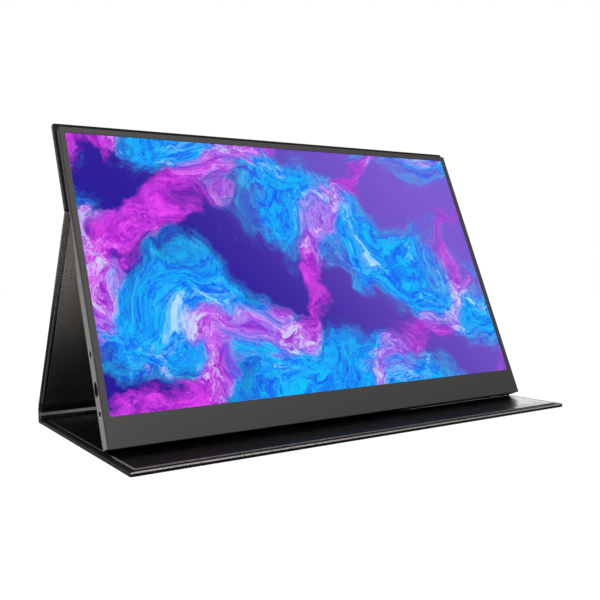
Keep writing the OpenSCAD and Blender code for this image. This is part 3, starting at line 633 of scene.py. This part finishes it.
nodeFinishes = [
    (leather, "base_skin spine_skin strut_skin carrier_skin"),
    (smooth, "base_lining spine_lining carrier_lining"),
    (hatch, "strut_lining"),
    (pressBoard, "base_board spine_board strut_board carrier_board"),
    (platedMetal, "base_magnets carrier_magnets board_screws"),
    (housingPlastic, "rear_housing"),
    (seamPlastic, "mid_frame"),
    (bezelPlastic, "front_bezel"),
    (screenPicture, "lcd_cell"),
    (whiteFilm, "diffuser_sheet reflector_sheet"),
    (clearPipe, "light_guide status_light"),
    (lampYellow, "led_strip"),
    (pressedMetal, "panel_tray shield_can steel_strips"),
    (boardGreen, "driver_board main_board side_board"),
    (cableFilm, "panel_cable side_cable"),
    (creamPlastic, "board_sockets"),
    (brightMetal, "usb_port_lower usb_port_upper hdmi_port"),
    (jackMetal, "audio_jack"),
    (blackPlastic, "dial_switch dial_carrier dial_wheel button_switch"),
    (blackPlastic, "board_chips speaker_left speaker_right"),
    (buttonBlack, "power_button"),
    (redLead, "speaker_leads"),
    (blackMetal, "housing_screws"),
]
for material, names in nodeFinishes:
    for name in names.split():
        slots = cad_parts[name].data.materials
        slots.clear()
        slots.append(material)
print("finishes made")


def newPiece(name, vertices, faces, material, body=None, slot=None):
    mesh = bpy.data.meshes.new(name)
    mesh.from_pydata([tuple(p) for p in vertices], [], faces)
    mesh.validate()
    sheet = bmesh.new()
    sheet.from_mesh(mesh)
    bmesh.ops.recalc_face_normals(sheet, faces=sheet.faces)
    sheet.to_mesh(mesh)
    sheet.free()
    mesh.shade_smooth()
    mesh.materials.append(material)
    piece = bpy.data.objects.new(name, mesh)
    bpy.context.collection.objects.link(piece)
    if body:
        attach(piece, body)
    return piece


def rolled(radius, high, steps=5):  # inset and height round a quarter of an edge
    turns = [math.radians(90 * i / steps) for i in range(steps + 1)]
    return [(radius * (1 - math.cos(t)), high - radius * (1 - math.sin(t))) for t in turns]


def spread(low, high, step):
    n = max(1, round((high - low) / step))
    return [low + (high - low) * i / n for i in range(1, n)]


softness = {
    "wide": 13.0,
    "small": 4.0,
    "fadeRings": 4.0,
    "pressRings": 6,
}


def dip(x, y, side):  # how far a soft face sinks in
    wide = noise.noise(Vector((x / softness["wide"], y / softness["wide"], side * 3.0)))
    small = noise.noise(Vector((x / softness["small"], y / softness["small"], side * 7.0)))
    return abs(wide + 0.5 * small)


def roundCorner(p, cx, cy, outward):  # a point of a square corner drawn in to a round one
    dx, dy = p.x - cx, p.y - cy
    if dx * cx > 0 and dy * outward > 0:
        pull = max(abs(dx), abs(dy)) / math.hypot(dx, dy)
        p.x, p.y = cx + dx * pull, cy + dy * pull


def softSlab(place, half, ys, top, bottom, corners, ends=(1.0, 1.0), bumps=0.03, step=6.0, press=None):
    # closed slab: top and bottom are (inset, height) profiles that run in from every edge
    y0, y1 = ys
    middle = (y0 + y1) / 2
    bottom = bottom + [(inset, bottom[-1][1]) for inset, height in top[len(bottom):]]
    inset = [i for i, height in top]
    columns = [-half + i for i in inset]
    columns += spread(columns[-1], -columns[-1], step) + [-x for x in reversed(columns)]
    rows = [y0 + i * ends[0] for i in inset]
    tail = [y1 - i * ends[1] for i in reversed(inset)]
    rows += spread(rows[-1], tail[0], step) + tail
    nx, ny = len(columns), len(rows)
    vertices = []
    for side in (1, -1):
        profile = top if side > 0 else bottom
        for j, y in enumerate(rows):
            r = corners[0] if y < middle else corners[1]
            cy = y0 + r if y < middle else y1 - r
            for i, x in enumerate(columns):
                ring = min(i, nx - 1 - i, j, ny - 1 - j, len(top) - 1)
                p = Vector((x, y, profile[ring][1]))
                roundCorner(p, math.copysign(half - r, x), cy, cy - middle)
                soft = min(1.0, max(0.0, (ring - 1) / softness["fadeRings"]))
                p.z -= side * dip(x, y, side) * bumps * soft
                if press and side > 0 and ring > softness["pressRings"]:  # groove across the slab
                    grooveY, grooveHalf, depth = press
                    p.z -= depth * max(0.0, 1.0 - (abs(y - grooveY) / grooveHalf) ** 4)
                vertices.append(place @ (p * mm))
    faces = []
    for o in (0, nx * ny):
        for j in range(ny - 1):
            for i in range(nx - 1):
                a = o + j * nx + i
                faces.append((a, a + 1, a + nx + 1, a + nx))
    rim = [i for i in range(nx)] + [j * nx + nx - 1 for j in range(1, ny)]
    rim += [(ny - 1) * nx + i for i in range(nx - 2, -1, -1)] + [j * nx for j in range(ny - 2, 0, -1)]
    faces += [(a, b, b + nx * ny, a + nx * ny) for a, b in zip(rim, rim[1:] + rim[:1])]
    return vertices, faces


# Cover panels: leather over board, with a turned edge, a hem and the pocket of the lining
skin = {
    "half": 178.9,
    "face": 1.35,
    "edge": 0.8,
    "rim": 1.5,
    "dips": [(2.3, -0.02), (3.1, -0.01)],
    "hem": 4.2,
    "hemFold": [(-0.45, -0.03), (-0.15, -0.14), (-0.04, -0.4)],  # from the hem's inner edge
    "pocketFloor": 0.5,
    "pocketStart": 2.0,
    "gap": 1.65,  # from a crease to the panels beside it
    "creaseHem": 2.6,
    "smallCorner": 0.6,
    "frontCorner": 1.6,
    "topCorner": 2.0,
    "baseFront": -179.75,
    "strutOver": 0.6,
    "strutTopHem": 1.1,
    "carrierTop": 222.1,
}


def makePanel(name, place, body, replaced, ys, corners, ends, material):
    face, hem, floor = skin["face"], skin["hem"], skin["pocketFloor"]
    edge = rolled(skin["edge"], face) + [(skin["rim"], face)]
    top = edge + [(i, face + z) for i, z in skin["dips"]]
    top += [(hem + i, face + z) for i, z in skin["hemFold"]]
    top += [(hem, floor), (hem + skin["pocketStart"], floor)]
    bottom = [(i, -z) for i, z in edge]
    slab = softSlab(place, skin["half"], ys, top, bottom, corners, ends)
    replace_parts(newPiece(name, *slab, material, body, "cover_leather"), replaced)


gap, small, creaseHem = skin["gap"], skin["smallCorner"], skin["creaseHem"] / skin["hem"]
strutEnd = stand["strutLength"] + skin["strutOver"]
makePanel("baseCover", onBase, "base", "base_skin", (skin["baseFront"], -gap),
          (skin["frontCorner"], small), (1.0, creaseHem), baseLeather)
makePanel("strutCover", onStrut, "strut", "strut_skin", (gap, strutEnd),
          (small, small), (creaseHem, skin["strutTopHem"]), strutLeather)
carrierPlace = (stand["foldV"] + gap, skin["carrierTop"])
makePanel("carrierCover", onCarrier, "display", "carrier_skin", carrierPlace,
          (small, skin["topCorner"]), (creaseHem, 1.0), carrierLeather)

# Linings: raised and soft, with a rolled edge and a slight dip behind it
lining = {
    "half": 174.6,
    "foot": 0.56,
    "edge": 0.4,
    "corner": 0.5,
    "dips": [(0.7, 0.0), (1.1, -0.01), (1.5, -0.07), (1.9, -0.06), (2.6, -0.02), (4.0, 0.0)],
    "bumps": 0.02,
    "basePlace": (-175.45, -4.35),
    "baseRise": 0.6,
    "footGroove": (-131.03, 2.5, 0.04),  # middle, half width and depth
    "grooveStep": 3.0,
    "strutStart": 4.35,
    "strutShort": 3.7,
    "strutRise": 0.4,
    "carrierPlace": (160.3, 217.8),
    "carrierRise": 0.17,
}


def makeLining(name, place, body, replaced, ys, material, slot, rise, step=6.0, press=None):
    high = skin["face"] + rise
    top = rolled(lining["edge"], high) + [(i, high + z) for i, z in lining["dips"]]
    bottom = [(i, lining["foot"]) for i, z in top[:3]]
    corners = (lining["corner"], lining["corner"])
    slab = softSlab(place, lining["half"], ys, top, bottom, corners,
                    bumps=lining["bumps"], step=step, press=press)
    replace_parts(newPiece(name, *slab, material, body, slot), replaced)


strutPlace = (lining["strutStart"], stand["strutLength"] - lining["strutShort"])
makeLining("basePad", onBase, "base", "base_lining", lining["basePlace"], padSmooth, "smooth_lining",
           lining["baseRise"], lining["grooveStep"], lining["footGroove"])
makeLining("strutPad", onStrut, "strut", "strut_lining", strutPlace, hatch, "textured_lining",
           lining["strutRise"])
makeLining("carrierPad", onCarrier, "display", "carrier_lining", lining["carrierPlace"], smooth,
           "smooth_lining", lining["carrierRise"])

# Spine: leather all round, its noses lie under the bands, and a narrow pad inside
spine = {
    "narrower": 0.2,
    "edge": 0.6,
    "sunk": 0.03,
    "over": 0.9,  # past each crease
    "inside": [(1.4, 1.32), (2.7, 1.3), (2.8, 0.6)],
    "step": 5.0,
    "corner": 0.5,
    "padNarrower": 0.7,
    "padPlace": (1.9, 7.3),
    "padEdge": 0.3,
    "padRise": 0.2,
    "padFlat": 0.8,
    "padFoot": [(0, 0.62), (0.1, 0.62)],
}
spineFace = [(i, z - spine["sunk"]) for i, z in rolled(spine["edge"], skin["face"])]
spineBack = [(i, -z) for i, z in spineFace]
spineReach = (-spine["over"], stand["spinePitch"] + spine["over"])
corners = (spine["corner"], spine["corner"])
spineHalf, padHalf = skin["half"] - spine["narrower"], skin["half"] - spine["padNarrower"]
slab = softSlab(onSpine, spineHalf, spineReach, spineFace + spine["inside"], spineBack, corners,
                step=spine["step"])
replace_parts(newPiece("spineCover", *slab, leather, "spine", "cover_leather"), "spine_skin")
padHigh = skin["face"] + spine["padRise"]
padTop = rolled(spine["padEdge"], padHigh) + [(spine["padFlat"], padHigh)]
slab = softSlab(onSpine, padHalf, spine["padPlace"], padTop, spine["padFoot"], corners,
                bumps=lining["bumps"])
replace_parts(newPiece("spinePad", *slab, foldLeather, "spine", "smooth_lining"), "spine_lining")
print("cover panels made")

# Leather across the creases
band = {
    "half": 178.5,
    "thick": 0.45,
    "across": 240,
    "between": 5,  # steps from one point of a path to the next
    "wrinkle": 0.05,
    "wrinkleLength": 9.0,
    "ribPace": 2.4,
    "bend": 1.5,  # how far from a crease its leather still bends
}


def smoothLine(points, steps):  # curve through all the points
    line, last = [], len(points) - 1
    for i in range(last):
        p0, p1, p2, p3 = points[max(i - 1, 0)], points[i], points[i + 1], points[min(i + 2, last)]
        for t in (k / steps for k in range(steps)):
            square = (2 * p0 - 5 * p1 + 4 * p2 - p3) * t * t
            cube = (3 * p1 - p0 - 3 * p2 + p3) * t ** 3
            line.append(0.5 * (2 * p1 + (p2 - p0) * t + square + cube))
    return line + [points[-1]]


def makeBand(name, path, half=band["half"], thick=band["thick"], ribs=0.0):
    # path gives (y, z) of the outer face, start and end the places where the leather stops bending
    line = smoothLine([Vector((0, y, z)) for y, z in path], band["between"])
    n, across, vertices = len(line), band["across"], []
    for side in (0, 1):
        for i, p in enumerate(line):
            ahead = (line[min(i + 1, n - 1)] - line[max(i - 1, 0)]).normalized()
            normal = Vector((0, ahead.z, -ahead.y))
            swell = math.sin(math.pi * i / (n - 1))
            for k in range(across + 1):
                x = -half + 2 * half * k / across
                q = Vector((x, p.y, p.z)) - normal * (side * thick)
                if not side:
                    wrinkle = abs(noise.noise(Vector((x / band["wrinkleLength"], i * 0.3, 2.0))))
                    rib = 0.5 + 0.5 * math.sin(x * band["ribPace"])
                    q -= normal * swell * (wrinkle * band["wrinkle"] + ribs * rib)
                vertices.append(q * mm)
    w = across + 1
    o = n * w
    faces = []
    for first in (0, o):
        for i in range(n - 1):
            for k in range(across):
                c = first + i * w + k
                faces.append((c, c + 1, c + w + 1, c + w))
    for i in range(n - 1):
        for k in (0, across):
            c = i * w + k
            faces.append((c, c + w, o + c + w, o + c))
    for i in (0, n - 1):
        for k in range(across):
            c = i * w + k
            faces.append((c, c + 1, o + c + 1, o + c))
    piece = newPiece(name, vertices, faces, leather)
    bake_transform(piece)


def placed(points, origin, way, face):  # points are (along the way, out of the face) from the origin
    return [(origin.x + way.x * a + face.x * b, origin.y + way.y * a + face.y * b) for a, b in points]


def arc(origin, radius, first, last, count=6):
    turns = [math.radians(first + (last - first) * i / count) for i in range(count + 1)]
    return [(origin.x + radius * math.cos(t), origin.y + radius * math.sin(t)) for t in turns]


# Places and ways in the (y, z) plane
nose, bend = stand["noseR"], band["bend"]
lowCrease = Vector((stand["creaseY"], nose))
highCrease = Vector((stand["creaseY"], nose + stand["spinePitch"]))
topCrease = Vector((stand["foldY"], stand["foldZ"]))
back, up = Vector((1, 0)), Vector((0, 1))
alongStrut = Vector((math.cos(strutTurn), math.sin(strutTurn)))
outOfStrut = Vector((math.sin(strutTurn), -math.cos(strutTurn)))
alongCarrier = Vector((math.sin(tilt), math.cos(tilt)))
outOfCarrier = Vector((math.cos(tilt), -math.sin(tilt)))

crossing = {  # distances from a crease, with how far the leather sinks into the panel's face
    "base": [(9.0, 0.22), (6.5, 0.05), (3.5, 0.0)],
    "spineLow": [(2.5, 0.0), (4.2, 0.06)],
    "spineHigh": [(4.6, 0.08), (2.6, 0.0)],
    "strut": [(3.5, 0.0), (6.5, 0.05), (9.0, 0.25)],
    "valley": [(9.0, 0.25), (6.0, 0.04), (3.2, 0.0)],
    "valleyFloor": (1.62, 0.11),
}
inner = {  # distances from a crease, with how far the leather stands out there
    "low": [(5.6, -1.2), (4.6, -1.42), (3.5, -1.75), (2.4, -2.3), (1.72, -3.1), (1.42, -4.0), (1.2, -5.0)],
    "strut": [(5.5, -1.15), (4.2, -1.75), (2.6, -2.45), (1.0, -2.75)],
    "high": [(-1.2, -2.75), (-2.2, -2.2), (-3.1, -1.3)],
    "lowHalf": 177.6,
    "highHalf": 177.8,
    "highThick": 0.9,
    "highRibs": 0.1,
}


def sunk(points, origin, way, face):
    return placed([(distance, nose - depth) for distance, depth in points], origin, way, face)


path = sunk(crossing["base"], lowCrease, -back, -up) + arc(lowCrease, nose, -90, 0)
path += sunk(crossing["spineLow"], lowCrease, up, back)
makeBand("lowerRoll", path)

path = sunk(crossing["spineHigh"], highCrease, -up, back)
path += arc(highCrease, nose, 0, stand["strutAngle"] - 90, 4)
path += sunk(crossing["strut"], highCrease, alongStrut, outOfStrut)
makeBand("upperRoll", path)

path = placed(inner["low"], lowCrease, up, back)
makeBand("innerLower", path, half=inner["lowHalf"])

path = placed(inner["strut"], highCrease, alongStrut, outOfStrut)
path += placed(inner["high"], highCrease, up, back)
makeBand("innerUpper", path,
         half=inner["highHalf"], thick=inner["highThick"], ribs=inner["highRibs"])

path = sunk(crossing["valley"], topCrease, -alongStrut, outOfStrut)
path += placed([crossing["valleyFloor"]], topCrease, back, up)
path += sunk(reversed(crossing["valley"]), topCrease, alongCarrier, outOfCarrier)
makeBand("topFold", path)
print("creases made")

# Camera at the photograph's place
cameraLook = {
    "place": (-0.3272, -0.46405, 0.1088),
    "azimuth": 29.70,
    "down": 1.86,
    "roll": -1.18,
    "lens": 44.95,
    "sensor": 36,
    "shift": (0.1145, -0.005),
    "nearest": 0.01,
}
azimuth, down, roll = (math.radians(cameraLook[key]) for key in ("azimuth", "down", "roll"))
forward = Vector((math.sin(azimuth) * math.cos(down), math.cos(azimuth) * math.cos(down), -math.sin(down)))
level = Vector((math.cos(azimuth), -math.sin(azimuth), 0))
upright = level.cross(forward)
rightWay = level * math.cos(roll) + upright * math.sin(roll)
upWay = upright * math.cos(roll) - level * math.sin(roll)
camera = bpy.data.objects.new("camera", bpy.data.cameras.new("camera"))
bpy.context.collection.objects.link(camera)
turn = Matrix((rightWay, upWay, -forward)).transposed().to_4x4()
camera.matrix_world = Matrix.Translation(cameraLook["place"]) @ turn
camera.data.sensor_width = cameraLook["sensor"]
camera.data.lens = cameraLook["lens"]
camera.data.shift_x, camera.data.shift_y = cameraLook["shift"]
camera.data.clip_start = cameraLook["nearest"]
bpy.context.scene.camera = camera

# Pale studio: white for the camera and reflections, dimmer as light, with four soft lamps
studio = {
    "world": 0.25,
    "floorHalf": 6,
    "floorDrop": 0.0002,
    "floorWhite": 0.8,
    "floorGlow": 1.2,
    "floorGlowShare": 0.8,
    "aim": (0, 0, 0.08),
    "lamps": [  # name, place, size and power
        ("keyLamp", (-0.45, -0.44, 0.38), (0.42, 0.42), 2.5),
        ("overheadStrip", (-0.45, -0.35, 0.8), (0.7, 0.3), 1.6),
        ("rearLamp", (-0.3, 1.2, 0.9), (0.9, 0.6), 9.0),
        ("lowRightLamp", (1.5, 1.6, 0.35), (1.2, 0.5), 5.0),
    ],
}
world = bpy.data.worlds.new("studioWorld")
bpy.context.scene.world = world
surroundings = Graph(world)
brightness = surroundings.seen() * (1 - studio["world"]) + studio["world"]
surroundings.fill(world.node_tree.nodes["Background"], {"Color": (1, 1, 1, 1), "Strength": brightness})

white = (studio["floorWhite"],) * 3 + (1,)
floorFinish = Finish("floorWhite", {"Base Color": white, "Roughness": 0.9, "Specular IOR Level": 0.0})
glow = floorFinish.add("ShaderNodeEmission", inputs={"Strength": studio["floorGlow"]})
matt = Wire(floorFinish, floorFinish.shader)
share = floorFinish.seen() * studio["floorGlowShare"]
surface = floorFinish.add("ShaderNodeMixShader", inputs={0: share, 1: matt, 2: glow})
floorFinish.fill(floorFinish.tree.nodes["Material Output"], {"Surface": surface})
reach = studio["floorHalf"]
square = [(-reach, -reach, 0), (reach, -reach, 0), (reach, reach, 0), (-reach, reach, 0)]
floor = newPiece("floor", square, [(0, 1, 2, 3)], floorFinish.material)
floor.location.z = -studio["floorDrop"]

for name, place, size, power in studio["lamps"]:
    lamp = bpy.data.objects.new(name, bpy.data.lights.new(name, "AREA"))
    lamp.data.shape, lamp.data.energy = "RECTANGLE", power
    lamp.data.size, lamp.data.size_y = size
    lamp.location = place
    lamp.rotation_euler = (Vector(studio["aim"]) - Vector(place)).to_track_quat("-Z", "Y").to_euler()
    lamp.visible_camera = False
    bpy.context.collection.objects.link(lamp)

bpy.context.scene.view_settings.view_transform = "Standard"
print("studio made")
